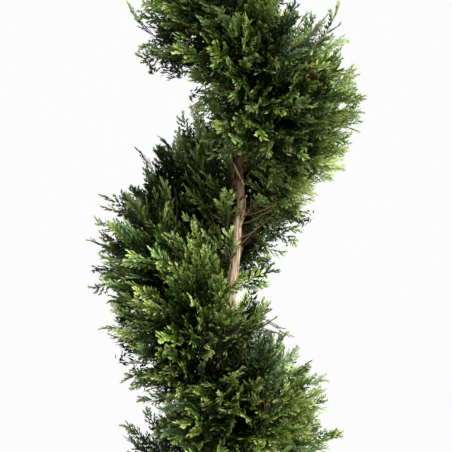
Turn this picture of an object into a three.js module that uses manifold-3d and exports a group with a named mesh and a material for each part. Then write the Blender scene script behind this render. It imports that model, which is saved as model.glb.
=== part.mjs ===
// A juniper clipped into a spiral: a slender wavy trunk rooted in the ground, with one broad band of
// foliage that winds up round it and ends in a small flame-shaped tuft at the leader.
// Millimetres, +Z up. The origin is the middle of the trunk's flat cut at ground level.
// +X is the side that the trunk leans to, and -Y is the front.
import * as THREE from "three";
import { mergeVertices } from "three/addons/utils/BufferGeometryUtils.js";
import Module from "manifold-3d";

const wasm = await Module();
wasm.setup();

const GAP = 0.4; // clearance between pieces that touch
const clearanceScale = 1.005; // the same, as an enlargement of a mass of foliage
const TURN = 2 * Math.PI;

// Driving dimensions of the tree.
const treeHeight = 2150; // ground to the highest tip of foliage
const trunkHeight = 2085; // ground to the end of the woody leader
const trunkRadius = 16; // just above the root flare
const leaderRadius = 2;
const flareReach = 13; // how far the root flare stands out at the ground
const flareHeight = 45; // the flare fades over this height
const flareLobes = 5;
const lobeDepth = 0.3; // how uneven the flare is
const leanReach = 131; // the leader stands this far to +X of the foot
const bowReach = 21; // the trunk bows out of the crown's axis by this much
const kinkHeight = 1078; // an old pruning wound jogs the trunk back here
const kinkReach = 16;
const kinkSpread = 27;
const knotSwell = 4.5; // the wound's knot thickens it
const trunkCuts = [560, kinkHeight, 1600]; // heights at which the trunk's lengths meet

// Driving dimensions of the spiral band of foliage.
const crownRadius = 213; // axis to the outermost tips, low on the tree
const crownTaper = 6; // the higher the power, the fuller the shoulders
const crownTipRadius = 12;
const pitchAtGround = 692; // rise of the band in one turn
const pitchLoss = 0.102; // the pitch shrinks by this share of the height
const frontCrossing = 724; // the band's middle crosses the front of the trunk at this height
const bandStart = 179; // heights of the band's middle at its two ends
const bandEnd = 1888;
const bandHalfHeight = 229; // half the band's height at ground level
const bandLoss = 0.053; // and the half height shrinks by this share of the height
const fullerBehind = 0.17; // the band is deeper behind the trunk than in front by this share each way
const bandTilt = 0.3; // the outer side stands higher than the inner one by this share
const waist = 0.485; // share of the radius at which the band is deepest
const innerDepth = 0.75; // share of the full depth that is left beside the trunk
const roundness = 2; // power of the rounded outer edge: 2 is an ellipse
const trunkClearance = 14; // bare space between bark and leaves, above
const hollowShare = 0.34; // and below, where the boughs show, as a share of the radius
const tailTurn = 0.2; // share of a turn over which the band's ends taper
const tailScale = 0.48; // how small the ends are
const lump = 0.064; // unevenness of the clipped surface, as a share of its size
const swell = 0.23; // twice in each turn the band gets deeper, and shallower, by this share
const swellAt = 1.67; // turn angle at which it is deepest
const tailSlimming = 0.35; // how far the tails also draw in towards the trunk

const tuftFoot = 1940; // height above ground of the leader's tuft, just clear of the band
const tuftRadius = 64;
const tuftLump = 0.07;

const masses = 16;
const boughsPerMass = 2;
const boughRadius = 5.2;
const boughTaper = 0.6; // share of its radius that a bough keeps where it enters the leaves
const boughRise = 0.82; // rise for each millimetre outwards
const boughStart = 0.78; // share of the band's half height below its middle where boughs leave the trunk
const boughEnd = 0.46; // share of the crown's radius at which a bough is well inside its mass
const boughSweep = 0.25; // how much a bough bends upwards
const topBoughSize = 0.55; // size of the highest boughs, as a share of the lowest

// Resolution of the facets.
const trunkSides = 14;
const trunkSteps = 58;
const stepGrowth = 1.15; // over 1, so that the rings are closest near the flare
const edgeSteps = 10; // facets round the outer edge of the band
const flankSteps = 2; // facets on each flank, between trunk and waist
const massSteps = 6;
const boughSides = 7;
const boughSteps = 5;
const tuftSides = 14;
const tuftSteps = 8;

const bark = new THREE.MeshStandardMaterial({ color: 0x8a7256, roughness: 0.95, metalness: 0 });
const boughBark = new THREE.MeshStandardMaterial({ color: 0x7a553c, roughness: 0.9, metalness: 0 });
const foliage = new THREE.MeshStandardMaterial({ color: 0x3d5a26, roughness: 0.8, metalness: 0 });

const bell = (value, middle, spread) => Math.exp(-(((value - middle) / spread) ** 2));
const smooth = (t) => THREE.MathUtils.smoothstep(t, 0, 1);

// The crown's own axis: upright at the foot and at the top, and leaning between them.
function crownAxis(z) {
  const rise = THREE.MathUtils.clamp(z / treeHeight, 0, 1);
  return new THREE.Vector3((leanReach * (1 - Math.cos(Math.PI * rise))) / 2, 0, z);
}

// The trunk's centreline follows the crown's axis, with a bow and a kink of its own.
function trunkAxis(z) {
  const bow = bowReach * Math.sin(Math.PI * THREE.MathUtils.clamp(z / trunkHeight, 0, 1));
  const kink = -kinkReach * bell(z, kinkHeight, kinkSpread);
  return crownAxis(z).add(new THREE.Vector3(bow + kink, 0.5 * bow, 0));
}

function trunkRadiusAt(z) {
  const taper = THREE.MathUtils.lerp(trunkRadius, leaderRadius, z / trunkHeight);
  return taper + knotSwell * bell(z, kinkHeight - kinkSpread / 2, kinkSpread);
}

// The band's turn angle, growing upwards, and the height at which the band's middle has that angle.
const turnAt = (z) => -(TURN / pitchLoss) * Math.log(1 - (pitchLoss * z) / pitchAtGround);
const heightAt = (turn) => ((1 - Math.exp((-turn * pitchLoss) / TURN)) * pitchAtGround) / pitchLoss;
// The band climbs clockwise seen from above, and is in front of the trunk at frontCrossing.
const azimuthAt = (turn) => -Math.PI / 2 - (turn - turnAt(frontCrossing));

const crownRadiusAt = (z) => crownTipRadius + crownRadius * (1 - Math.min(z / treeHeight, 1) ** crownTaper);

// The band narrows to a tail at both ends.
function tailAt(turn) {
  const fromEnd = Math.min(turn - turnAt(bandStart), turnAt(bandEnd) - turn);
  return THREE.MathUtils.lerp(tailScale, 1, smooth(fromEnd / (tailTurn * TURN)));
}

// Half the band's height at one turn angle.
function halfHeightAt(turn) {
  const depth = 1 + fullerBehind * Math.sin(azimuthAt(turn)) + swell * Math.cos(2 * turn - swellAt);
  return (bandHalfHeight - bandLoss * heightAt(turn)) * depth * tailAt(turn);
}

// Smooth unevenness that differs along the band and round its section.
function unevenness(turn, round) {
  const waves = Math.sin(5.3 * turn + 3 * round) + Math.sin(3.1 * turn - 2 * round + 1.7);
  return 1 + (lump * waves) / 2;
}

// The band's upright section at one turn angle, as [distance from the axis, height] pairs that run from
// the inner foot, out along the underside, round the outer edge and back in along the top.
function bandSection(turn) {
  const middle = heightAt(turn);
  const tail = tailAt(turn);
  const radius = crownRadiusAt(middle) * THREE.MathUtils.lerp(1, tail, tailSlimming);
  const half = halfHeightAt(turn);
  const waistRadius = waist * radius;
  const topInner = trunkRadiusAt(middle) + trunkClearance * tail;
  const footInner = Math.max(hollowShare * radius, topInner);
  const points = [];
  const add = (distance, offset) => {
    const round = Math.atan2(offset / half, distance / radius - waist);
    const size = unevenness(turn, round);
    const out = waistRadius + (distance - waistRadius) * (distance > waistRadius ? size : 1);
    points.push([out, middle + bandTilt * (out - waistRadius) + offset * size]);
  };
  const flank = (side, inner, t) => {
    const distance = THREE.MathUtils.lerp(inner, waistRadius, t);
    add(distance, side * half * THREE.MathUtils.lerp(innerDepth, 1, distance / waistRadius));
  };
  for (let i = 0; i < flankSteps; i++) flank(-1, footInner, i / flankSteps);
  for (let i = 0; i <= edgeSteps; i++) {
    const angle = Math.PI * (i / edgeSteps - 0.5);
    const reach = Math.cos(angle) ** (2 / roundness);
    const lift = Math.sign(angle) * Math.abs(Math.sin(angle)) ** (2 / roundness);
    add(THREE.MathUtils.lerp(waistRadius, radius, reach), half * lift);
  }
  for (let i = flankSteps - 1; i >= 0; i--) flank(1, topInner, i / flankSteps);
  return points;
}

// The section placed in space, moved sideways along the band by shift.
function bandRing(turn, shift) {
  const azimuth = azimuthAt(turn);
  const outwards = new THREE.Vector3(Math.cos(azimuth), Math.sin(azimuth), 0);
  const alongBand = new THREE.Vector3(outwards.y, -outwards.x, 0); // towards the band's upper end
  return bandSection(turn).map(([distance, z]) =>
    crownAxis(z).addScaledVector(outwards, distance).addScaledVector(alongBand, shift),
  );
}

// A closed geometry through rings of equally many points, with a fan over each end.
function loft(rings) {
  const count = rings[0].length;
  const mean = (ring) => ring.reduce((sum, p) => sum.add(p), new THREE.Vector3()).divideScalar(count);
  const positions = [...rings.flat(), mean(rings[0]), mean(rings.at(-1))].flatMap((p) => p.toArray());
  const first = rings.length * count;
  const last = (rings.length - 1) * count;
  const index = [];
  for (let side = 0; side < count; side++) {
    const next = (side + 1) % count;
    for (let step = 0; step < last; step += count) {
      index.push(step + side, step + next, step + count + next);
      index.push(step + side, step + count + next, step + count + side);
    }
    index.push(first, next, side);
    index.push(first + 1, last + side, last + next);
  }
  const geometry = new THREE.BufferGeometry().setIndex(index);
  return geometry.setAttribute("position", new THREE.Float32BufferAttribute(positions, 3));
}

// Round rings of a limb, each centred on line(t) and square to the limb's direction or level.
function limbRings(line, radius, sides, steps, level) {
  const rings = [];
  for (let step = 0; step <= steps; step++) {
    const t = step / steps;
    const ahead = line(Math.min(t + 0.01, 1)).sub(line(Math.max(t - 0.01, 0)));
    const facing = level ? new THREE.Vector3(0, 0, 1) : ahead.normalize();
    const turned = new THREE.Quaternion().setFromUnitVectors(new THREE.Vector3(0, 0, 1), facing);
    const ring = [];
    for (let side = 0; side < sides; side++) {
      const angle = (TURN * side) / sides;
      const spoke = new THREE.Vector3(Math.cos(angle), Math.sin(angle), 0);
      ring.push(line(t).addScaledVector(spoke.applyQuaternion(turned), radius(t, angle)));
    }
    rings.push(ring);
  }
  return rings;
}

function toSolid(geometry) {
  const merged = mergeVertices(geometry, 1e-3);
  const vertProperties = merged.attributes.position.array;
  const triVerts = new Uint32Array(merged.index.array);
  return new wasm.Manifold(new wasm.Mesh({ numProp: 3, vertProperties, triVerts }));
}

// The solid a little enlarged about its middle, to cut its neighbours with some clearance.
function withClearance(solid) {
  const box = solid.boundingBox();
  const middle = box.min.map((low, axis) => (low + box.max[axis]) / 2);
  return solid.translate(middle.map((v) => -v)).scale(clearanceScale).translate(middle);
}

function toMesh(name, solid, material) {
  const { vertProperties, triVerts } = solid.getMesh();
  const geometry = new THREE.BufferGeometry();
  geometry.setAttribute("position", new THREE.BufferAttribute(vertProperties, 3));
  geometry.setIndex(new THREE.BufferAttribute(triVerts, 1));
  geometry.computeVertexNormals();
  const mesh = new THREE.Mesh(geometry, material);
  mesh.name = name;
  return mesh;
}

// The whole trunk, from its flat cut at the ground, through the flare, to the leader's end.
function trunk(grow) {
  const height = (t) => trunkHeight * t ** stepGrowth;
  const radius = (t, angle) => {
    const z = height(t);
    const lobes = 1 + lobeDepth * Math.cos(flareLobes * angle);
    return trunkRadiusAt(z) + flareReach * lobes * Math.exp(-z / flareHeight) + grow;
  };
  return toSolid(loft(limbRings((t) => trunkAxis(height(t)), radius, trunkSides, trunkSteps, true)));
}

// One mass of foliage: a length of the band between two turn angles.
function bandMass(from, to) {
  const rings = [];
  for (let step = 0; step <= massSteps; step++) {
    const shift = step === 0 ? GAP / 2 : step === massSteps ? -GAP / 2 : 0;
    rings.push(bandRing(THREE.MathUtils.lerp(from, to, step / massSteps), shift));
  }
  return toSolid(loft(rings));
}

// One bough: it leaves the trunk low in the band, and rises outwards to well inside its mass.
function bough(turn) {
  const azimuth = azimuthAt(turn);
  const outwards = new THREE.Vector3(Math.cos(azimuth), Math.sin(azimuth), 0);
  const middle = heightAt(turn);
  const reach = boughEnd * crownRadiusAt(middle);
  const foot = middle - boughStart * halfHeightAt(turn);
  const line = (t) => {
    const out = reach * t;
    const z = foot + boughRise * out * (1 - boughSweep * (1 - t));
    const root = trunkAxis(foot).lerp(crownAxis(z), t).setZ(z);
    return root.addScaledVector(outwards, out);
  };
  const size = THREE.MathUtils.lerp(1, topBoughSize, middle / treeHeight);
  const radius = (t) => boughRadius * size * THREE.MathUtils.lerp(1, boughTaper, t);
  return toSolid(loft(limbRings(line, radius, boughSides, boughSteps, false)));
}

// The flame-shaped tuft round the leader, widest a quarter of the way up.
function topTuft() {
  const rings = [];
  for (let step = 0; step <= tuftSteps; step++) {
    const rise = THREE.MathUtils.lerp(0.01, 0.995, step / tuftSteps);
    const width = tuftRadius * Math.sin(Math.PI * Math.sqrt(rise)) ** 0.8;
    const middle = crownAxis(THREE.MathUtils.lerp(tuftFoot, treeHeight, rise));
    const ring = [];
    for (let side = 0; side < tuftSides; side++) {
      const angle = (TURN * side) / tuftSides;
      const out = width * (1 + tuftLump * Math.sin(3 * angle + 1.3 * step));
      ring.push(new THREE.Vector3(Math.cos(angle), Math.sin(angle), 0).multiplyScalar(out).add(middle));
    }
    rings.push(ring);
  }
  return toSolid(loft(rings));
}

const tree = new THREE.Group();
const number = (n) => String(n).padStart(2, "0");
const keepOut = trunk(GAP); // the trunk with its clearance
const lengthEnds = [-GAP, ...trunkCuts, trunkHeight + GAP];
for (let i = 0; i <= trunkCuts.length; i++) {
  const above = trunk(0).trimByPlane([0, 0, 1], lengthEnds[i] + GAP / 2);
  const length = above.trimByPlane([0, 0, -1], GAP / 2 - lengthEnds[i + 1]);
  tree.add(toMesh(`trunk_${i + 1}`, length, bark));
}

const bandFrom = turnAt(bandStart);
const massTurn = (turnAt(bandEnd) - bandFrom) / masses;
let boughCount = 0;
for (let i = 0; i < masses; i++) {
  const from = bandFrom + i * massTurn;
  const solid = bandMass(from, from + massTurn).subtract(keepOut);
  const clearance = withClearance(solid);
  tree.add(toMesh(`foliage_${number(i + 1)}`, solid, foliage));
  for (let j = 0; j < boughsPerMass; j++) {
    const limb = bough(from + (massTurn * (j + 0.5)) / boughsPerMass);
    boughCount += 1;
    tree.add(toMesh(`bough_${number(boughCount)}`, limb.subtract(keepOut).subtract(clearance), boughBark));
  }
}
tree.add(toMesh("top_tuft", topTuft().subtract(keepOut), foliage));

export default tree;
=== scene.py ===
# The looks of a juniper clipped into a spiral: bark with real relief on the trunk and boughs, twigs that
# grow on from the boughs by a seeded branching rule, and feathery sprays of scale leaves in place of the
# solid masses. Metres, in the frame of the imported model: +Z up, the ground at Z = 0, -Y the front.
import math

import bpy
import numpy as np
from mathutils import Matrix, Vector
from mathutils.bvhtree import BVHTree


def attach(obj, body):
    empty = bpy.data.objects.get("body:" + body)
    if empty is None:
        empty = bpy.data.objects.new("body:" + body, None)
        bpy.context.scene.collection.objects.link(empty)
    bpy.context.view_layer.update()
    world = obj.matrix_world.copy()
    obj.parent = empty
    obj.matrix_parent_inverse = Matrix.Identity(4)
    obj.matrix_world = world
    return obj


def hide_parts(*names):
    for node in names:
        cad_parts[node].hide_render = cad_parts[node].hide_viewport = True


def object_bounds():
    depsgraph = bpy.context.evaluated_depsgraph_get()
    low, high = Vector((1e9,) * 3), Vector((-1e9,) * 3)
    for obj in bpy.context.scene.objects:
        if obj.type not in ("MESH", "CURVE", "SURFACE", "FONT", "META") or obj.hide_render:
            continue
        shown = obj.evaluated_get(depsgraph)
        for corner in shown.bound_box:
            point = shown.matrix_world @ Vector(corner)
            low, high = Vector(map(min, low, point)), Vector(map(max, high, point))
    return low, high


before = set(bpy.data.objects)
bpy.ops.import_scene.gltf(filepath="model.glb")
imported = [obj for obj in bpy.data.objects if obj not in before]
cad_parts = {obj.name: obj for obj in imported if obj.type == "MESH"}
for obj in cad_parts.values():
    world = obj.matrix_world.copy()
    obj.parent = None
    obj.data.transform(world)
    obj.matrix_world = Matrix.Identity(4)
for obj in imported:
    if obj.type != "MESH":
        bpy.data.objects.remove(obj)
cad_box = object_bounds()
SEED = 22
rng = np.random.default_rng(SEED)

MASSES = sorted(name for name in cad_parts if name.startswith("foliage"))
BOUGHS = sorted(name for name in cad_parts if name.startswith("bough"))
TRUNK_LENGTHS = sorted(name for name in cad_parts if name.startswith("trunk"))
UP = np.array([0.0, 0.0, 1.0])
PAINTED_LIGHT_SIDE = np.array([0.5, -0.3, -0.65])  # sprays whose surface faces this way are painted paler and those facing away darker: painted light and shade

# The sprays: where their tips lie on the masses, and how they are made.
SPRAY_POINTS = 5200  # random points on each mass, from which the tips are picked
TIP_SPACING = 0.0225  # least distance between the tips of two sprays
CLUMP_SPACING = 0.085  # and between two clumps of sprays
CLUMP_DEPTH = 0.135  # from a clump's tips back to the end of the limb that carries it
CLUMP_SWELL = 0.021  # the middle of a clump stands out by this much
CLUMP_GAP = 0.075  # and its edge is set back by this much for each clump spacing, squared
CLUMP_UNEVENNESS = 0.006  # clumps stand out further than each other by about this much
INNER_SHARE = 0.075  # share of the points on the side towards the trunk that count
SPRAY_LENGTH = 0.115
SPRAY_SHAPES = 16
BRANCHLETS = 19  # on one spray
SPRIG_LENGTH = 0.065  # small sprays on the bare lengths of the boughs and on the trunk
SPRIG_BRANCHLETS = 9
SPRIGS_PER_BOUGH = 20
TRUNK_SHOOTS = 240
KNOT_HEIGHT = 1.02  # the trunk juts to +X below an old wound
KNOT_JUT = 0.005
KNOT_SPREAD = 0.024
BARE_TRUNK = (0.885, 1.088)  # heights between which no spray hides the front of the trunk
BARE_WIDTH = 0.019  # this far to either side
BRANCHLET_REACH = 0.015  # a spray's lowest branchlets are longer than its highest by this much
BRANCHLET_LEAST = 0.012
LOBES = 5  # on one branchlet, on alternate sides
LOBE_LENGTH = 0.0096
LOBE_HALF = 0.0017  # half the width of a lobe
CORD_HALF = 0.0019  # and of the cord that carries the lobes
FOLD = 0.0009  # how far a lobe's edges lie below its ridge
MIDDLE_LIGHT = 0.92  # how pale the sprays in the middle of a clump are painted: painted light
PAINTED_EDGE_SHADE = 2.0  # and the painted shade, darker for each clump spacing from there, squared, towards the gaps between clumps
LIGHT_SPREAD = 0.8  # sprays differ in this by about this much
BRIGHTEST = 1.5  # no spray is paler than this
STRAGGLERS = 0.09  # share of the sprays that stand out past the clipped surface
STRAGGLER_REACH = 0.028
BOX_SHARE = 0.03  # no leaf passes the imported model's box by more than this share of its side
BOX_MARGIN = 0.008  # and this much
SHADE_POINTS = 2000  # random points on each mass for the coarse sprays inside it, whose dark greens are painted shade
SHADE_SPACING = 0.025  # least distance between two of these
SHADE_DEPTHS = (0.014, 0.075)  # how deep under the surface their tips lie

# Greens of the leaves as sRGB, from deep inside a spray to its tips, in four kinds dealt out by spray. The
# dark greens deep inside are painted shade; the paler tips are partly new growth.
GREENS = {
    "cool": [(11, 19, 4), (26, 40, 15), (50, 69, 37), (83, 104, 65), (124, 142, 104)],
    "fresh": [(12, 23, 1), (27, 47, 3), (50, 79, 9), (85, 115, 27), (133, 156, 76)],
    "plain": [(14, 22, 2), (33, 47, 7), (60, 78, 18), (95, 114, 42), (141, 157, 88)],
    "warm": [(17, 22, 2), (40, 49, 9), (70, 81, 25), (108, 119, 51), (156, 163, 102)],
}
KINDS = (-0.5, 0.0, 0.5)  # a leaf's warmth, mostly its spray's, at which each next kind begins
TONES = (0.30, 0.50, 0.72, 0.94)  # a leaf's tone at which each next green begins
DEAD_LEAVES = [(62, 38, 22), (104, 76, 48)]  # from the inside of a spray to its tips, the darker inside being painted shade as with the greens
DEAD_SPOT = (0.195, 1.288)  # X and Z of a small dead patch on the front
DEAD_REACH = 0.016

CAMERA_TARGET = np.array([0.0548, 0, 0.98])
CAMERA_DISTANCE = 4.5
CAMERA_ELEVATION = math.radians(9.4)
FRAME_WIDTH = 0.8588  # width of what the camera sees at its target

# Where whole clumps stand out past the clipped surface or were cut back, as seen from the front:
# X, the height at the trunk's distance, the reach of the place, and how far it lies outwards.
BULGES = [
    (-0.095, 1.392, 0.034, -0.026),
    (-0.085, 1.312, 0.036, 0.030),
    (-0.048, 1.278, 0.032, -0.025),
    (0.006, 1.258, 0.034, -0.068),
    (0.020, 1.212, 0.022, -0.020),
    (-0.010, 1.190, 0.022, -0.020),
    (-0.068, 1.112, 0.035, 0.016),
    (-0.104, 1.108, 0.020, -0.014),
    (-0.102, 1.056, 0.024, -0.022),
    (-0.150, 1.025, 0.040, -0.024),
    (-0.180, 0.985, 0.025, -0.014),
    (-0.195, 0.950, 0.055, -0.022),
    (-0.160, 0.818, 0.040, -0.034),
    (-0.168, 0.792, 0.028, -0.016),
    (-0.120, 0.726, 0.030, -0.034),
    (-0.086, 0.650, 0.032, -0.026),
    (-0.088, 0.562, 0.030, 0.018),
    (0.220, 1.376, 0.034, -0.036),
    (0.292, 1.278, 0.050, -0.023),
    (0.302, 1.210, 0.022, 0.012),
    (0.296, 1.165, 0.028, -0.018),
    (0.245, 1.080, 0.035, -0.018),
    (0.210, 1.010, 0.030, -0.022),
    (0.152, 0.950, 0.032, -0.036),
    (0.122, 0.892, 0.024, 0.018),
    (0.088, 0.858, 0.032, -0.054),
    (0.122, 0.815, 0.022, 0.018),
    (0.153, 0.838, 0.022, -0.030),
    (0.158, 0.798, 0.024, 0.026),
    (0.178, 0.762, 0.032, -0.034),
    (0.212, 0.716, 0.030, -0.028),
    (0.240, 0.690, 0.040, -0.026),
    (0.256, 0.628, 0.046, -0.030),
]

# Small shoots in front of the trunk, from foot to tip, and how pale their greens are painted, as painted
# light and shade.
SHOOTS = [
    ((0.066, -0.012, 0.908), (0.054, -0.030, 0.968), 1.2),
    ((0.057, -0.010, 0.972), (0.062, -0.040, 1.046), 1.0),
    ((0.055, -0.006, 0.972), (0.044, -0.032, 1.038), 0.7),
    ((0.072, -0.012, 1.060), (0.058, -0.034, 1.112), 0.0),
    ((0.094, -0.016, 1.078), (0.112, -0.042, 1.130), 0.5),
    ((0.082, -0.014, 1.074), (0.096, -0.036, 1.122), 0.0),
    ((0.078, -0.014, 1.098), (0.068, -0.036, 1.156), 0.1),
    ((0.088, -0.014, 1.122), (0.100, -0.038, 1.178), 0.4),
    ((0.091, -0.008, 1.004), (0.118, -0.022, 1.036), -0.3),
]
# Bare twigs that fan out on the right of the trunk: where each starts and ends.
BARE_TWIGS = [
    ((0.080, -0.004, 0.944), (0.126, 0.004, 0.998)),
    ((0.082, 0.000, 0.956), (0.146, 0.010, 1.004)),
    ((0.086, -0.004, 0.985), (0.152, -0.006, 1.024)),
    ((0.088, -0.004, 0.999), (0.168, -0.010, 1.038)),
    ((0.136, -0.020, 1.070), (0.166, -0.030, 1.088)),
    ((0.048, -0.010, 0.955), (0.026, -0.024, 1.010)),
]
# Plumes that stand out at the outline, seen in the same way: X and height of the tip, then of the foot.
PLUME_AS_SPRAY = 0.08  # longer ones are made as sprays, the others as sprigs
PLUMES = [
    (-0.135, 1.405, -0.074, 1.338),
    (0.271, 1.390, 0.226, 1.319),
    (-0.101, 1.294, -0.036, 1.328),
    (-0.071, 1.122, -0.029, 1.064),
    (-0.059, 1.130, -0.021, 1.059),
    (-0.160, 1.045, -0.118, 1.001),
    (-0.033, 1.184, -0.004, 1.142),
    (-0.188, 0.988, -0.137, 0.972),
    (-0.190, 0.853, -0.147, 0.886),
    (-0.156, 0.760, -0.109, 0.780),
    (-0.124, 0.668, -0.086, 0.699),
    (-0.095, 0.622, -0.071, 0.578),
    (0.190, 0.976, 0.135, 0.988),
    (0.186, 0.953, 0.129, 0.976),
    (0.159, 0.922, 0.116, 0.946),
    (0.135, 0.822, 0.097, 0.789),
    (0.123, 0.832, 0.093, 0.795),
    (0.176, 0.776, 0.123, 0.803),
    (0.304, 1.190, 0.262, 1.170),
]
# Thin places that more of the coarse, painted-shade sprays close, seen in the same way: X and height.
CLOSED_COUNT = 5  # sprays at each of them
CLOSED = [
    (-0.067, 1.108),
    (-0.021, 1.145),
    (-0.050, 1.090),
    (-0.036, 1.066),
    (-0.078, 1.036),
    (-0.086, 1.042),
    (0.012, 1.160),
    (-0.075, 1.075),
    (-0.010, 1.105),
    (-0.060, 1.350),
    (-0.068, 1.305),
    (-0.040, 1.300),
    (0.060, 1.034),
    (0.050, 1.056),
    (-0.137, 0.953),
    (-0.128, 0.990),
    (-0.140, 0.765),
    (0.105, 0.822),
    (0.150, 1.372),
    (-0.092, 0.562),
    (-0.070, 0.580),
    (-0.135, 0.815),
]
STUB = ((0.088, -0.004, 1.060), (0.070, -0.028, 1.102))  # the pale end of a broken twig


# ---------------------------------------------------------------- small tools


def unit(v):
    """Vectors scaled to length one."""
    v = np.asarray(v, float)
    return v / np.maximum(np.linalg.norm(v, axis=-1, keepdims=True), 1e-12)


def mix(a, b, t):
    return a + (b - a) * t


def smooth(t):
    t = np.clip(t, 0, 1)
    return t * t * (3 - 2 * t)


def linear(rgb):
    """An sRGB colour of 0 to 255 as linear light, with alpha."""
    c = np.array(rgb) / 255
    return (*np.where(c <= 0.04045, c / 12.92, ((c + 0.055) / 1.055) ** 2.4), 1.0)


def corner_values(cells, seed):
    """A fixed random number from -1 to 1 for each whole-numbered corner of space."""
    n = (cells @ np.array([374761393, 668265263, 1440662683]) + seed * 1013904223) & 0xFFFFFFFF
    n = ((n ^ (n >> 13)) * 1274126177) & 0xFFFFFFFF
    return ((n ^ (n >> 16)) & 0xFFFF) / 32767.5 - 1


def noise(points, seed=0):
    """Smooth noise from -1 to 1, with features about one unit wide."""
    points = np.asarray(points, float)
    cell = np.floor(points).astype(np.int64)
    t = smooth(points - cell)
    total = np.zeros(points.shape[:-1])
    for corner in np.ndindex(2, 2, 2):
        weight = np.where(corner, t, 1 - t).prod(-1)
        total += weight * corner_values(cell + np.array(corner), seed)
    return total


def mesh_of(node):
    """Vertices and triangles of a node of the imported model."""
    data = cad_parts[node].data
    points = np.empty(len(data.vertices) * 3)
    data.vertices.foreach_get("co", points)
    data.calc_loop_triangles()
    triangles = np.empty(len(data.loop_triangles) * 3, int)
    data.loop_triangles.foreach_get("vertices", triangles)
    return points.reshape(-1, 3), triangles.reshape(-1, 3)


class Pile:
    """Points and triangles that are piled up to become one mesh."""

    def __init__(self):
        self.points, self.triangles, self.count = [], [], 0

    def add(self, points, triangles):
        self.points.append(points)
        self.triangles.append(triangles + self.count)
        self.count += len(points)

    def piece(self, name, material, slot, replaces=(), shade_smooth=True):
        """Makes the mesh, which rides on the plant's one body."""
        points = np.concatenate(self.points)
        triangles = np.concatenate(self.triangles)
        mesh = bpy.data.meshes.new(name)
        mesh.vertices.add(len(points))
        mesh.vertices.foreach_set("co", points.ravel())
        mesh.loops.add(triangles.size)
        mesh.loops.foreach_set("vertex_index", triangles.ravel())
        mesh.polygons.add(len(triangles))
        mesh.polygons.foreach_set("loop_start", np.arange(0, triangles.size, 3))
        mesh.update(calc_edges=True)
        mesh.polygons.foreach_set("use_smooth", np.full(len(triangles), shade_smooth))
        mesh.materials.append(material)
        obj = bpy.data.objects.new(name, mesh)
        bpy.context.scene.collection.objects.link(obj)
        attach(obj, "root")
        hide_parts(*replaces)
        return obj


def tube(pile, line, radii, sides, relief=None):
    """A limb along a line of points, closed at both ends. relief gives the height of the bark at points."""
    line = np.asarray(line, float)
    ahead = unit(np.gradient(line, axis=0))
    across = np.cross(ahead[0], UP if abs(ahead[0, 2]) < 0.9 else np.array([1.0, 0, 0]))
    angles = np.arange(sides) * 2 * math.pi / sides
    rings = []
    for i, direction in enumerate(ahead):
        across = unit(across - direction * (across @ direction))
        other = np.cross(direction, across)
        spokes = np.outer(np.cos(angles), across) + np.outer(np.sin(angles), other)
        ring = line[i] + spokes * radii[i]
        if relief is not None:
            ring += spokes * relief(ring)[:, None]
        rings.append(ring)
    close_rings(pile, np.array(rings))


def close_rings(pile, rings):
    """Adds the skin over rings of equally many points, with a fan over each end."""
    steps, sides = rings.shape[:2]
    points = np.concatenate([rings.reshape(-1, 3), rings[:1].mean(1), rings[-1:].mean(1)])
    side = np.arange(sides)
    after = (side + 1) % sides
    row = np.arange(steps - 1)[:, None] * sides
    a, b, c, d = row + side, row + after, row + sides + after, row + sides + side
    foot, top, last = steps * sides, steps * sides + 1, (steps - 1) * sides
    triangles = [
        np.stack([a, b, c], -1).reshape(-1, 3),
        np.stack([a, c, d], -1).reshape(-1, 3),
        np.stack([np.full(sides, foot), after, side], -1),
        np.stack([np.full(sides, top), last + side, last + after], -1),
    ]
    pile.add(points, np.concatenate(triangles))


def curve(start, start_way, end, end_way, steps):
    """Points of a smooth curve from start to end, which leaves and arrives along the two ways."""
    t = np.linspace(0, 1, steps)[:, None]
    reach = np.linalg.norm(np.subtract(end, start))
    b = np.asarray(start) + unit(start_way) * reach / 3
    c = np.asarray(end) - unit(end_way) * reach / 3
    return (1 - t) ** 3 * start + 3 * (1 - t) ** 2 * t * b + 3 * (1 - t) * t**2 * c + t**3 * np.asarray(end)


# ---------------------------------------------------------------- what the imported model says


class Trunk:
    """The trunk's centreline and radius, read from the level rings of its solids."""

    def __init__(self):
        solids = np.concatenate([mesh_of(name)[0] for name in TRUNK_LENGTHS])
        points = np.unique(np.round(solids, 5), axis=0)
        self.foot = points[points[:, 2] < 0.002]
        levels = np.unique(np.round(points[:, 2], 4))
        rings = [points[np.abs(points[:, 2] - z) < 1e-4] for z in levels]
        rings = [ring for ring in rings if len(ring) > 4]
        self.z = np.array([ring[:, 2].mean() for ring in rings])
        self.centre = np.array([(ring.min(0) + ring.max(0)) / 2 for ring in rings])
        spokes = [(ring - c)[:, :2] for ring, c in zip(rings, self.centre)]
        self.reach = np.array([np.linalg.norm(s, axis=1).mean() for s in spokes])
        self.top = self.z[-1]

    def middle(self, z):
        """Centre of the trunk at heights z."""
        z = np.asarray(z, float)
        x, y = (np.interp(z, self.z, self.centre[:, k]) for k in (0, 1))
        return np.stack([x, y, z], -1)

    def radius(self, z):
        return np.interp(z, self.z, self.reach)

    def outwards(self, points):
        """Level unit vectors from the trunk to the points."""
        return unit((points - self.middle(points[..., 2])) * [1, 1, 0])


trunk = Trunk()


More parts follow.
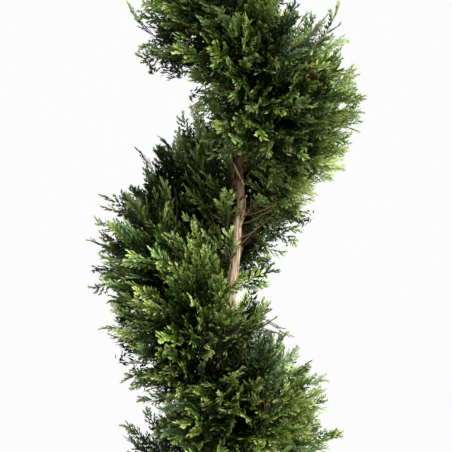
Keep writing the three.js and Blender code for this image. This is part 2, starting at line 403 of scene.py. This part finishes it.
def surface_points(node, count, neighbours):
    """Random points on a node's outside, with their normals, leaving out where it meets its neighbours."""
    points, triangles = mesh_of(node)
    a, b, c = (points[triangles[:, k]] for k in range(3))
    normal = np.cross(b - a, c - a)
    area = np.linalg.norm(normal, axis=1) / 2
    pick = rng.choice(len(area), count, p=area / area.sum())
    u, v = rng.random((2, count, 1))
    fold = u + v > 1
    u, v = np.where(fold, 1 - u, u), np.where(fold, 1 - v, v)
    found = a[pick] + u * (b - a)[pick] + v * (c - a)[pick]
    trees = [BVHTree.FromPolygons(*(x.tolist() for x in mesh_of(other))) for other in neighbours]
    free = [all(tree.find_nearest(p, 0.003)[0] is None for tree in trees) for p in found]
    return found[free], unit(normal[pick][free])


def thinned(points, spacing):
    """Indices of points that keep the spacing from each other, the first ones first."""
    kept = []
    for i, point in enumerate(points):
        if not kept or ((points[kept] - point) ** 2).sum(1).min() > spacing**2:
            kept.append(i)
    return np.array(kept)


# ---------------------------------------------------------------- materials


def new_material(name, roughness, colour=(0.5, 0.5, 0.5, 1)):
    material = bpy.data.materials.new(name)
    material.use_nodes = True
    shader = material.node_tree.nodes["Principled BSDF"]
    shader.inputs["Base Color"].default_value = colour
    shader.inputs["Roughness"].default_value = roughness
    return material, material.node_tree, shader


def leaf_material(name, rgb, gloss):
    """Waxy scale leaves of one plain green: what varies is dealt out from spray to spray."""
    material, _, shader = new_material("leaf_" + name, 0.48, linear(rgb))
    shader.inputs["Specular IOR Level"].default_value = gloss
    return material


def bark_material(name, colours, grain, bump, reddened_shaded_top=None):
    """Bark in upright strips. colours are (place, sRGB) stops from furrow to ridge, grain is how fine the
    pattern is. The last argument gives the two heights between which it turns darker and redder, and the
    tint
    of that: partly redder bark, partly painted shade on the upper trunk."""
    material, tree, shader = new_material(name, 0.92)
    nodes, link = tree.nodes, tree.links.new
    place = nodes.new("ShaderNodeTexCoord").outputs["Object"]
    shader.inputs["Specular IOR Level"].default_value = 0.2

    def pattern(stretch, scale, detail):
        mapping = nodes.new("ShaderNodeMapping")
        mapping.inputs["Scale"].default_value = stretch
        texture = nodes.new("ShaderNodeTexNoise")
        texture.inputs["Scale"].default_value = scale
        texture.inputs["Detail"].default_value = detail
        link(place, mapping.inputs["Vector"])
        link(mapping.outputs["Vector"], texture.inputs["Vector"])
        return texture.outputs["Fac"]

    fibres = pattern((1, 1, 0.09), grain, 6)
    patches = pattern((1, 1, 0.35), grain * 0.12, 3)
    blend = nodes.new("ShaderNodeMath")
    blend.operation = "MULTIPLY_ADD"
    blend.inputs[1].default_value = 0.62
    link(fibres, blend.inputs[0])
    scaled = nodes.new("ShaderNodeMath")
    scaled.operation = "MULTIPLY"
    scaled.inputs[1].default_value = 0.38
    link(patches, scaled.inputs[0])
    link(scaled.outputs[0], blend.inputs[2])
    ramp = nodes.new("ShaderNodeValToRGB")
    while len(ramp.color_ramp.elements) < len(colours):
        ramp.color_ramp.elements.new(0.5)
    for element, (position, rgb) in zip(ramp.color_ramp.elements, colours):
        element.position = position
        element.color = linear(rgb)
    link(blend.outputs[0], ramp.inputs["Fac"])
    link(ramp.outputs["Color"], shader.inputs["Base Color"])
    if reddened_shaded_top:
        height = nodes.new("ShaderNodeSeparateXYZ")
        turn = nodes.new("ShaderNodeMapRange")
        turn.inputs["From Min"].default_value, turn.inputs["From Max"].default_value = reddened_shaded_top[:2]
        tint = nodes.new("ShaderNodeMix")
        tint.data_type, tint.blend_type = "RGBA", "MULTIPLY"
        tint.inputs["B"].default_value = (*reddened_shaded_top[2], 1)
        link(place, height.inputs["Vector"])
        link(height.outputs["Z"], turn.inputs["Value"])
        link(turn.outputs["Result"], tint.inputs["Factor"])
        link(ramp.outputs["Color"], tint.inputs["A"])
        link(tint.outputs["Result"], shader.inputs["Base Color"])
    relief = nodes.new("ShaderNodeBump")
    relief.inputs["Strength"].default_value = bump
    relief.inputs["Distance"].default_value = 0.001
    link(fibres, relief.inputs["Height"])
    link(relief.outputs["Normal"], shader.inputs["Normal"])
    return material


TRUNK_BARK = bark_material(
    "trunk_bark",
    [
        (0.34, (46, 34, 22)),
        (0.43, (96, 79, 57)),
        (0.5, (140, 123, 97)),
        (0.58, (168, 152, 126)),
        (0.68, (118, 84, 56)),
    ],
    420,
    0.7,
    # darker and redder above 1.01 m: partly redder bark, partly painted shade on the upper trunk
    (1.01, 1.075, (0.55, 0.36, 0.26)),
)
BOUGH_BARK = bark_material(
    "bough_bark",
    [(0.32, (34, 23, 15)), (0.46, (66, 48, 32)), (0.56, (92, 70, 48)), (0.68, (110, 90, 66))],
    600,
    0.5,
)
TWIG_BARK = bark_material(
    "twig_bark",
    [(0.35, (42, 32, 16)), (0.5, (72, 56, 30)), (0.65, (98, 78, 44))],
    700,
    0.3,
)
DRY_WOOD = bark_material(
    "dry_wood",
    [(0.35, (120, 96, 66)), (0.5, (176, 150, 112)), (0.65, (204, 182, 146))],
    700,
    0.3,
)


# ---------------------------------------------------------------- trunk and boughs


class Bough:
    """One bough: it follows its solid from the trunk to the mass, and climbs on inside the mass."""

    def __init__(self, node, mass_points):
        points = mesh_of(node)[0]
        away = np.linalg.norm((points - trunk.middle(points[:, 2]))[:, :2], axis=1)
        near = points[away <= np.quantile(away, 0.25)].mean(0)
        far = points[away >= np.quantile(away, 0.75)].mean(0)
        way = unit(far - near)
        spread = points - near - np.outer((points - near) @ way, way)
        self.radius = 1.15 * np.linalg.norm(spread, axis=1).mean()
        self.side = unit((far - near) * [1, 1, 0])
        root = near - way * (np.linalg.norm((near - trunk.middle(near[2]))[:2]) * 0.9)
        level = mass_points - trunk.middle(mass_points[:, 2])
        beside = mass_points[(level @ self.side > 0) & (np.abs(level @ np.cross(UP, self.side)) < 0.06)]
        low, high = beside[:, 2].min(), beside[:, 2].max()
        top = mix(low, high, 0.7)
        depth = 0.5 * np.linalg.norm((beside - trunk.middle(beside[:, 2]))[:, :2], axis=1).max()
        crest = trunk.middle(top) + self.side * depth
        outer = curve(far, way, crest, unit(0.25 * self.side + UP), 22)
        self.line = np.concatenate([curve(root, way, far, way, 8)[:-1], outer])
        self.root = root
        rise = np.linspace(0, 1, len(self.line))
        self.radii = self.radius * mix(1, 0.35, rise)

    def fork(self, end):
        """Where a limb to that end leaves the bough, with the bough's direction and radius there."""
        ways = unit(np.gradient(self.line, axis=0))
        gap = np.linalg.norm(end - self.line, axis=1)
        turn = (unit(end - self.line) * ways).sum(1)
        i = int((gap * (1.8 - turn))[3:].argmin()) + 3
        return self.line[i], ways[i], self.radii[i]


def fibres(points, height):
    """Relief of fibrous bark: long upright ridges with finer ones between them."""
    coarse = 1 - 2 * np.abs(noise(points * [210, 210, 17], 3))
    fine = noise(points * [520, 520, 60], 4)
    return height * (0.75 * coarse + 0.35 * fine)


def build_trunk(boughs):
    """The trunk with the relief of its bark, its root flare, and a collar under each bough."""
    sides, steps = 42, 480
    z = trunk.top * np.linspace(0, 1, steps) ** 1.05
    wander = noise(np.stack([z * 11, z * 0, z * 0], -1), 8)[:, None] * np.array([0.0016, 0.0012, 0])
    kernel = np.ones(5) / 5
    centre = trunk.middle(z)
    for k in (0, 1):
        centre[2:-2, k] = np.convolve(centre[:, k], kernel, "valid")
    centre += wander * smooth(z / 0.2)[:, None]
    centre[:, 0] += KNOT_JUT * np.exp(-(((z - KNOT_HEIGHT) / KNOT_SPREAD) ** 2))
    angle = np.arange(sides) * 2 * math.pi / sides
    spokes = np.stack([np.cos(angle), np.sin(angle), 0 * angle], -1)
    flat = centre[:, None] + spokes * trunk.radius(z)[:, None, None]
    around = np.arctan2(trunk.foot[:, 1], trunk.foot[:, 0]) % (2 * math.pi)
    reach = np.linalg.norm(trunk.foot[:, :2], axis=1)
    lobes = np.interp(angle, around[around.argsort()], reach[around.argsort()], period=2 * math.pi)
    flare = (lobes - lobes.mean()) * np.exp(-z / 0.045)[:, None]
    bark_height = np.minimum(0.0016, 0.11 * trunk.radius(z))[:, None]
    out = trunk.radius(z)[:, None] + flare + fibres(flat, bark_height) - 0.8 * bark_height
    for bough in boughs:
        near = np.linalg.norm(flat - (bough.root + bough.side * trunk.radius(bough.root[2])), axis=2)
        out += 0.9 * bough.radius * np.exp(-((near / (2.2 * bough.radius)) ** 2))
    rings = centre[:, None] + spokes * out[..., None]
    rings[..., 2] = z[:, None]
    pile = Pile()
    close_rings(pile, rings)
    return pile


def bark_strips(pile, count):
    """Thin strips of bark that have peeled away from the trunk at one end."""
    for _ in range(count):
        z = rng.uniform(0.05, 0.85) * trunk.top
        angle = rng.uniform(0, 2 * math.pi)
        out = np.array([math.cos(angle), math.sin(angle), 0])
        across = np.cross(UP, out)
        length = rng.uniform(0.018, 0.05)
        width = rng.uniform(0.0012, 0.0028)
        lift = rng.uniform(0.002, 0.006)
        up = rng.choice([-1, 1])
        t = np.linspace(0, 1, 6)
        line = trunk.middle(z + up * t * length) + out * (trunk.radius(z) + 0.0006 + lift * t**2)[:, None]
        half = across * (width / 2 * (1 - 0.75 * t**2))[:, None]
        thick = out * 0.0004
        rings = np.stack([line - half, line - thick, line + half, line + thick], 1)
        close_rings(pile, rings)


# ---------------------------------------------------------------- sprays


class Shape:
    """A spray that grows along +Z and is flattish in Y, as folded kite-shaped blades. Each blade has a tone,
    from 0 deep inside the spray to 1 at its tips: darker inside as painted shade, paler at the tips partly
    as new growth."""

    def __init__(self):
        self.blades, self.tones = [], []

    def blade(self, base, tip, facing, half, tone, fold=FOLD):
        way = tip - base
        side = unit(np.cross(facing, way))
        waist = base + 0.4 * way - unit(np.cross(way, side)) * fold
        self.blades.append([base, waist + side * half, waist - side * half, tip])
        self.tones.append(tone)

    def branchlet(self, base, way, facing, length, tone):
        """A cord of scale leaves with short lobes on alternate sides."""
        across = unit(np.cross(facing, way))
        self.blade(base, base + way * length, facing, CORD_HALF, tone)
        for i in range(LOBES):
            s = (i + 0.8) / (LOBES + 0.5)
            turn = math.radians(26 + rng.normal(0, 6))
            side = across * (1 if i % 2 else -1)
            lobe = unit(math.cos(turn) * way + math.sin(turn) * side + rng.normal(0, 0.1, 3))
            reach = LOBE_LENGTH * mix(1, 0.8, s) * rng.uniform(0.75, 1.2)
            root = base + way * length * s
            turned = facing + rng.normal(0, 0.25, 3)
            # lobes are paler towards the branchlet's end: painted shade at its base, partly paler new growth
            # at its end
            self.blade(root, root + lobe * reach, turned, LOBE_HALF, tone - 0.05 + 0.42 * s)
        end = base + way * length * 0.8
        self.blade(end, end + way * LOBE_LENGTH, facing, LOBE_HALF, tone + 0.38)

    def result(self):
        return np.array(self.blades), np.array(self.tones)


def spray_shape(total, branchlets):
    """A plume of that length: branchlets on alternate sides of a stem."""
    shape = Shape()
    bend = rng.normal(0, 0.10, 2)

    def axis(t):
        return np.array([bend[0] * t * t, bend[1] * t * t, t]) * total

    for i in range(branchlets):
        t = mix(0.14, 0.93, i / (branchlets - 1))
        length = (BRANCHLET_REACH * (1 - t) ** 0.55 + BRANCHLET_LEAST) * rng.uniform(0.8, 1.25)
        angle = math.radians(mix(42, 18, t**1.5) + rng.normal(0, 6))
        tilt = rng.normal(0, 0.35)
        ahead = unit(axis(t + 0.05) - axis(t - 0.05))
        out = np.array([math.cos(tilt) * (1 if i % 2 else -1), math.sin(tilt), 0])
        way = unit(math.cos(angle) * ahead + math.sin(angle) * out)
        facing = unit(np.cross(way, np.cross(np.array([0, 1.0, 0]), way)) + rng.normal(0, 0.2, 3))
        # tones rise from the spray's foot to its tip: painted shade low in the spray, partly paler new
        # growth at the tip
        shape.branchlet(axis(t), way, facing, length, 0.02 + 0.66 * t)
    for t in (0.1, 0.4, 0.7):
        shape.blade(axis(t), axis(t + 0.36), np.array([0, 1.0, 0]), 0.0012, 0.15 + 0.5 * t)
    return shape.result()


def shade_shape():
    """A coarse spray for the dim inside of a mass, with low tones: its dark greens are painted shade."""
    shape = Shape()
    for _ in range(40):
        t = rng.uniform(0.05, 1)
        around = rng.uniform(0, 2 * math.pi)
        out = np.array([math.cos(around), math.sin(around), 0])
        way = unit(out * rng.uniform(0.3, 1) + [0, 0, rng.uniform(0.3, 1)])
        base = np.array([0, 0, t]) * SPRAY_LENGTH * 0.62 + out * rng.uniform(0, 0.016)
        tip = base + way * rng.uniform(0.014, 0.024)
        facing, half, tone = rng.normal(0, 1, 3), rng.uniform(0.0026, 0.004), rng.uniform(0.0, 0.4)
        shape.blade(base, tip, facing, half, tone, 0.0015)
    return shape.result()


BLADE_TRIANGLES = np.array([[0, 1, 3], [0, 3, 2]])


class Clump:
    """Sprays that share the end of one limb."""

    def __init__(self, centre, normal, depth):
        out = trunk.outwards(centre)
        lean = 0.7 * (1 - max(normal[2], 0)) if normal @ out > -0.25 else 0
        self.way = unit(0.6 * normal + 0.4 * UP + lean * out + rng.normal(0, 0.14, 3))
        depth = depth if normal @ out > -0.25 else 0.6 * depth
        self.foot = centre - self.way * depth
        self.warmth = 0.4 * noise(centre * 8, 11) + rng.normal(0, 0.2)
        self.light = 0.3 * noise(centre * 7, 12) + rng.normal(0, 0.45)
        self.swell = rng.normal(0, CLUMP_UNEVENNESS)


def seen(points):
    """Where the camera sees points: X and height at the trunk's distance."""
    x, y, z = (points - CAMERA_TARGET).T
    away = y * math.cos(CAMERA_ELEVATION) - z * math.sin(CAMERA_ELEVATION)
    nearer = CAMERA_DISTANCE / (CAMERA_DISTANCE + away)
    height = (z + y * math.tan(CAMERA_ELEVATION)) * nearer
    return np.stack([x * nearer, height], -1) + CAMERA_TARGET[[0, 2]]


def seen_at(x, height, y):
    """The point at that Y which the camera sees at that X and height."""
    wide, high = x - CAMERA_TARGET[0], height - CAMERA_TARGET[2]
    level = CAMERA_DISTANCE + y * math.cos(CAMERA_ELEVATION)
    slope = CAMERA_DISTANCE * math.tan(CAMERA_ELEVATION)
    z = (high * level - slope * y) / (CAMERA_DISTANCE + high * math.sin(CAMERA_ELEVATION))
    nearer = CAMERA_DISTANCE / (level - z * math.sin(CAMERA_ELEVATION))
    return CAMERA_TARGET + [wide / nearer, y, z]


def bulge(points):
    """How far the places of BULGES push the tips of the sprays outwards at points."""
    x, height, reach, push = np.array(BULGES).T
    look = seen(points)
    gap = np.hypot(look[:, :1] - x, look[:, 1:] - height)
    return (push * np.exp(-((gap / reach) ** 2))).sum(1)


def foliage_of(node, neighbours, spacing, clump_spacing, depth):
    """The clumps of one mass, and for each spray its foot, tip and clump."""
    points, normals = surface_points(node, SPRAY_POINTS, neighbours)
    outwards = trunk.outwards(points)
    inner = (normals * outwards).sum(1) < -0.25
    kept = ~inner | (rng.random(len(points)) < INNER_SHARE)
    points, normals = points[kept], normals[kept]
    chosen = thinned(points, spacing)
    tips, normals = points[chosen], normals[chosen]
    middles = thinned(tips, clump_spacing)
    gaps = np.linalg.norm(tips[:, None] - tips[middles][None], axis=2)
    tips = tips + normals * bulge(tips)[:, None]
    clumps = [Clump(tips[i], normals[i], depth) for i in middles]
    return clumps, tips, normals, gaps.argmin(1), gaps.min(1) / clump_spacing


# ---------------------------------------------------------------- growing the plant


leaves = {(kind, grade): Pile() for kind, greens in GREENS.items() for grade in range(len(greens))}
leaves |= {("dead", grade): Pile() for grade in range(len(DEAD_LEAVES))}
bough_pile, twig_pile = Pile(), Pile()
all_boughs = []
sprays = []  # (foot, tip, warmth, light); light is how pale the greens are painted, random tone together with painted light and shade
sprigs = []  # the same, for small sprays on bare limbs
shades = []  # and for the coarse sprays inside, dealt dark greens as painted shade


def hides_trunk(foot, tip):
    """Whether a spray stands in front of the length of trunk that is bare."""
    points = mix(foot, tip, np.linspace(0, 1, 9)[:, None])
    aside = np.abs(points[:, 0] - trunk.middle(points[:, 2])[:, 0])
    bare = (points[:, 2] > BARE_TRUNK[0]) & (points[:, 2] < BARE_TRUNK[1])
    return bool((bare & (points[:, 1] < 0) & (aside < BARE_WIDTH)).any())


def grow_mass(node, boughs, neighbours, spacing=TIP_SPACING, clump_spacing=CLUMP_SPACING, depth=CLUMP_DEPTH):
    """Limbs from the boughs to the clumps, twigs from there to the sprays, and the sprays."""
    global rng
    rng = np.random.default_rng([SEED, len(all_boughs)])
    clumps, tips, normals, owner, edge = foliage_of(node, neighbours, spacing, clump_spacing, depth)
    for number, clump in enumerate(clumps):
        forks = [bough.fork(clump.foot) for bough in boughs]
        start, way, radius = min(forks, key=lambda fork: np.linalg.norm(fork[0] - clump.foot))
        limb = curve(start, way + 0.6 * unit(clump.foot - start), clump.foot, clump.way, 9)
        limb[1:-1] += rng.normal(0, 0.0022, (7, 3))
        tube(bough_pile, limb, mix(min(0.55 * radius, 0.0032), 0.0013, np.linspace(0, 1, 9)), 6)
        for i in np.flatnonzero(owner == number):
            swell = CLUMP_SWELL - CLUMP_GAP * edge[i] ** 2 + clump.swell + rng.normal(0, 0.013)
            spread = unit(tips[i] - clump.foot) + 0.3 * clump.way + 0.15 * normals[i]
            way = unit(spread + rng.normal(0, 0.09, 3))
            if rng.random() < STRAGGLERS:
                swell += STRAGGLER_REACH * rng.uniform(0.3, 1)
            tip = tips[i] + way * swell
            length = min(SPRAY_LENGTH * rng.uniform(0.8, 1.15), depth * 0.95)
            foot = tip - way * length
            # sprays are painted paler in the middle of their clump and darker towards its edge: painted
            # light and painted shade, with random spread
            light = clump.light + MIDDLE_LIGHT - PAINTED_EDGE_SHADE * edge[i] ** 2 + rng.normal(0, LIGHT_SPREAD)
            # sprays are painted paler or darker by the way their surface faces: painted light and shade
            light = min(light + normals[i] @ PAINTED_LIGHT_SIDE, BRIGHTEST)
            if not hides_trunk(foot, tip):
                stem = curve(clump.foot, clump.way, foot + way * 0.45 * length, way, 5)
                tube(twig_pile, stem, np.linspace(0.0013, 0.0007, 5), 3)
                sprays.append((foot, tip, clump.warmth, light))


def grow_sprigs(line, out, count):
    """Small leafy shoots along a limb, and bare dry twigs between them."""
    for _ in range(count):
        i = rng.integers(0, len(line) - 1)
        foot = mix(line[i], line[i + 1], rng.random())
        ahead = unit(line[i + 1] - line[i])
        around = rng.normal(0, 1, 3)
        away = unit(around - ahead * (around @ ahead))
        way = unit(0.8 * away + 0.5 * ahead + 0.35 * UP + 0.3 * out)
        length = SPRIG_LENGTH * rng.uniform(0.7, 1.3)
        reach = rng.uniform(0.006, 0.03)
        tip = foot + way * (reach + length)
        if hides_trunk(foot, tip) or bulge(tip[None])[0] < -0.012:
            continue
        stem = curve(foot, ahead + away, foot + way * (reach + 0.5 * length), way, 5)
        tube(twig_pile, stem, np.linspace(0.0012, 0.0006, 5), 3)
        if rng.random() < 0.8:
            # these sprigs get a low light: their darker greens are painted shade near the trunk and boughs
            sprigs.append((foot + way * reach, tip, rng.normal(-0.2, 0.4), -0.9))


def grow_shade(node, neighbours):
    """Coarse sprays inside a mass, so that it is dim and close there: they are dealt dark greens as painted
    shade.
    """
    points, normals = surface_points(node, SHADE_POINTS, neighbours)
    chosen = thinned(points, SHADE_SPACING)
    skin = BVHTree.FromPolygons(*(x.tolist() for x in mesh_of(node)))
    for point, normal in zip(points[chosen], normals[chosen]):
        way = unit(normal + 0.4 * UP + rng.normal(0, 0.35, 3))
        tip = point - normal * rng.uniform(*SHADE_DEPTHS)
        nearest, facing, _, gap = skin.find_nearest(tip)
        least = SHADE_DEPTHS[0] * 0.9 - 1.4 * bulge(tip[None])[0]
        if gap > least and (nearest - Vector(tip)) @ facing > 0:
            shades.append((tip - way * 0.07, tip, rng.normal(0, 0.5), 0))


def clothe(sprays, shapes, total=SPRAY_LENGTH, withers=True):
    """Deals out the shapes, of that length, and the greens, and piles up the blades by green. Sprays that
    wither have dead leaves in the dead patch."""
    feet = np.array([s[0] for s in sprays])
    tips = np.array([s[1] for s in sprays])
    ways = unit(tips - feet)
    warmth = np.array([s[2] for s in sprays]) + rng.normal(0, 0.3, len(sprays))
    light = np.array([s[3] for s in sprays])
    scale = np.linalg.norm(tips - feet, axis=1) / total
    flat = unit(np.cross(ways, trunk.outwards(tips)) + rng.normal(0, 0.8, ways.shape))
    across = unit(np.cross(np.cross(ways, flat), ways))
    normal = np.cross(ways, across)
    spot = np.hypot(tips[:, 0] - DEAD_SPOT[0], tips[:, 2] - DEAD_SPOT[1]) < DEAD_REACH
    dead = spot & (tips[:, 1] < 0) & withers
    shape_of = rng.integers(0, len(shapes), len(sprays))
    for number, (blades, tones) in enumerate(shapes):
        mine = np.flatnonzero(shape_of == number)
        turn = np.stack([across[mine], normal[mine], ways[mine]], 1) * scale[mine, None, None]
        curl = rng.normal(0, 0.007, (len(mine), 1, 1, 3)) + 0.008 * UP
        along = (blades[..., 2] / total)[None, ..., None]
        placed = np.einsum("bpk,skc->sbpc", blades, turn) + feet[mine, None, None]
        placed = placed + curl * (along**2 - along)
        # each spray's light, painted light and shade with random tone, shifts its greens paler or darker
        tone = tones + 0.2 * light[mine, None] + rng.normal(0, 0.045, (len(mine), len(tones)))
        grade = np.digitize(tone, TONES)
        kind = np.digitize(warmth[mine, None] + rng.normal(0, 0.3, grade.shape), KINDS)
        inside = ((placed > LIMITS[0]) & (placed < LIMITS[1])).all((2, 3))
        for index, name in enumerate(GREENS):
            for step in range(len(GREENS[name])):
                which = (kind == index) & ~dead[mine, None] & (grade == step) & inside
                pile_blades(leaves[name, step], placed[which])
        for step in (0, 1):
            pile_blades(leaves["dead", step], placed[dead[mine, None] & ((grade > 2) == step) & inside])


def pile_blades(pile, blades):
    if len(blades):
        offsets = np.arange(len(blades))[:, None, None] * 4
        pile.add(blades.reshape(-1, 3), (BLADE_TRIANGLES + offsets).reshape(-1, 3))


LIMITS = [
    np.array(side) + sign * (BOX_MARGIN + BOX_SHARE * np.subtract(cad_box[1], cad_box[0]))
    for side, sign in zip(cad_box, (-1, 1))
]

for index, mass in enumerate(MASSES):
    points = mesh_of(mass)[0]
    mine = [Bough(name, points) for name in BOUGHS[2 * index : 2 * index + 2]]
    all_boughs += mine
    for bough in mine:
        tube(bough_pile, bough.line, bough.radii, 10, lambda points: fibres(points, 0.0004))
        grow_sprigs(bough.line[4:20], bough.side, SPRIGS_PER_BOUGH)
    near_masses = [MASSES[k] for k in (index - 1, index + 1) if 0 <= k < len(MASSES)]
    grow_mass(mass, mine, near_masses)
    grow_shade(mass, near_masses)


class Leader:
    """The trunk's end, which carries the tuft as a bough carries its mass."""

    def fork(self, end):
        z = np.clip(end[2] - 0.04, 0, trunk.top - 0.02)
        return trunk.middle(z), UP, trunk.radius(z)


grow_mass("top_tuft", [Leader()], [], spacing=0.015, clump_spacing=0.05, depth=0.06)
for z in rng.uniform(0.2, 1.95, TRUNK_SHOOTS):
    angle = rng.uniform(0, 2 * math.pi)
    out = np.array([math.cos(angle), math.sin(angle), 0])
    if out[1] > 0.3 or not BARE_TRUNK[0] - 0.04 < z < BARE_TRUNK[1]:
        heights = np.array([z, z + 0.01])
        skin = trunk.middle(heights) + out * trunk.radius(z)
        grow_sprigs(skin, out, 1)

for start, end in BARE_TWIGS:
    way = np.subtract(end, start)
    line = curve(start, way - 0.02 * UP, end, way + 0.03 * UP, 8)
    tube(twig_pile, line, np.linspace(0.0014, 0.0006, 8), 5)
for foot, tip, light in SHOOTS:
    tube(twig_pile, np.linspace(foot, tip, 4) - [[0, 0, 0.006]], np.linspace(0.0012, 0.0006, 4), 3)
    sprigs.append((np.array(foot), np.array(tip), 0, light))


skin_points = np.concatenate([mesh_of(mass)[0] for mass in MASSES])


def depth_at(x, height):
    """Y of the masses where the camera sees that X and height, from the nearest points of their skin."""
    gaps = np.linalg.norm(seen(skin_points) - [x, height], axis=1)
    return skin_points[gaps.argsort()[:10], 1].mean()


for tip_x, tip_height, foot_x, foot_height in PLUMES:
    y = depth_at(mix(foot_x, tip_x, 0.5), mix(foot_height, tip_height, 0.5))
    foot, tip = seen_at(foot_x, foot_height, y), seen_at(tip_x, tip_height, y)
    stem = mix(foot, tip, np.linspace(-0.3, 0.6, 5)[:, None])
    tube(twig_pile, stem, np.linspace(0.0013, 0.0007, 5), 3)
    kin = sprays if np.linalg.norm(tip - foot) > PLUME_AS_SPRAY else sprigs
    kin.append((foot, tip, rng.normal(0, 0.3), 0.3))

for x, height in CLOSED:
    place = seen_at(x, height, depth_at(x, height))
    for _ in range(CLOSED_COUNT):
        middle = place + rng.normal(0, (0.01, 0.02, 0.01))
        way = unit(0.7 * trunk.outwards(middle[None])[0] + 0.6 * UP + rng.normal(0, 0.35, 3))
        shades.append((middle - way * 0.035, middle + way * 0.035, rng.normal(0, 0.5), 0.3))

clothe(sprays, [spray_shape(SPRAY_LENGTH, BRANCHLETS) for _ in range(SPRAY_SHAPES)])
clothe(sprigs, [spray_shape(SPRIG_LENGTH, SPRIG_BRANCHLETS) for _ in range(8)], SPRIG_LENGTH)
clothe(shades, [shade_shape() for _ in range(6)], withers=False)

wood = build_trunk(all_boughs)
bark_strips(wood, 150)
wood.piece("trunk_bark", TRUNK_BARK, "trunk_bark", TRUNK_LENGTHS)
bough_pile.piece("boughs", BOUGH_BARK, "bough_bark", BOUGHS)
twig_pile.piece("twigs", TWIG_BARK, "bough_bark")
stub_pile = Pile()
tube(stub_pile, np.linspace(*STUB, 6), [0.0026, 0.0022, 0.002, 0.002, 0.0018, 0.0012], 8)
stub_pile.piece("stub", DRY_WOOD, "bough_bark")
for kind, colours in {**GREENS, "dead": DEAD_LEAVES}.items():
    for grade, rgb in enumerate(colours):
        name = f"{kind}_{grade + 1}"
        material = leaf_material(name, rgb, 0.1 + 0.1 * grade)
        leaves[kind, grade].piece("sprays_" + name, material, "foliage", [*MASSES, "top_tuft"], False)


# ---------------------------------------------------------------- camera, floor and light

camera = bpy.data.objects.new("camera", bpy.data.cameras.new("camera"))
bpy.context.scene.collection.objects.link(camera)
back = Vector((0, -math.cos(CAMERA_ELEVATION), math.sin(CAMERA_ELEVATION)))
camera.location = Vector(CAMERA_TARGET) + CAMERA_DISTANCE * back
camera.rotation_euler = (-back).to_track_quat("-Z", "Y").to_euler()
camera.data.sensor_width = 36
camera.data.lens = 36 * CAMERA_DISTANCE / FRAME_WIDTH
bpy.context.scene.camera = camera

sun = bpy.data.objects.new("sun", bpy.data.lights.new("sun", "SUN"))
bpy.context.scene.collection.objects.link(sun)
sun.rotation_euler = Vector((-0.8, 0.72, -0.9)).to_track_quat("-Z", "Y").to_euler()
sun.data.energy = 9.3
sun.data.angle = math.radians(22)

world = bpy.data.worlds.new("studio")
world.use_nodes = True
world.node_tree.nodes["Background"].inputs["Color"].default_value = (1, 1, 1, 1)
world.node_tree.nodes["Background"].inputs["Strength"].default_value = 1.0
bpy.context.scene.world = world
bpy.context.scene.view_settings.view_transform = "Standard"

floor_mesh = bpy.data.meshes.new("floor")
half = 60
corners = [(-half, -half, 0), (half, -half, 0), (half, half, 0), (-half, half, 0)]
floor_mesh.from_pydata(corners, [], [(0, 1, 2, 3)])
floor = bpy.data.objects.new("floor", floor_mesh)
bpy.context.scene.collection.objects.link(floor)
floor_material, _, floor_shader = new_material("floor", 0.9, (0.3358, 0.3358, 0.3358, 1))
floor_shader.inputs["Specular IOR Level"].default_value = 0
floor_mesh.materials.append(floor_material)
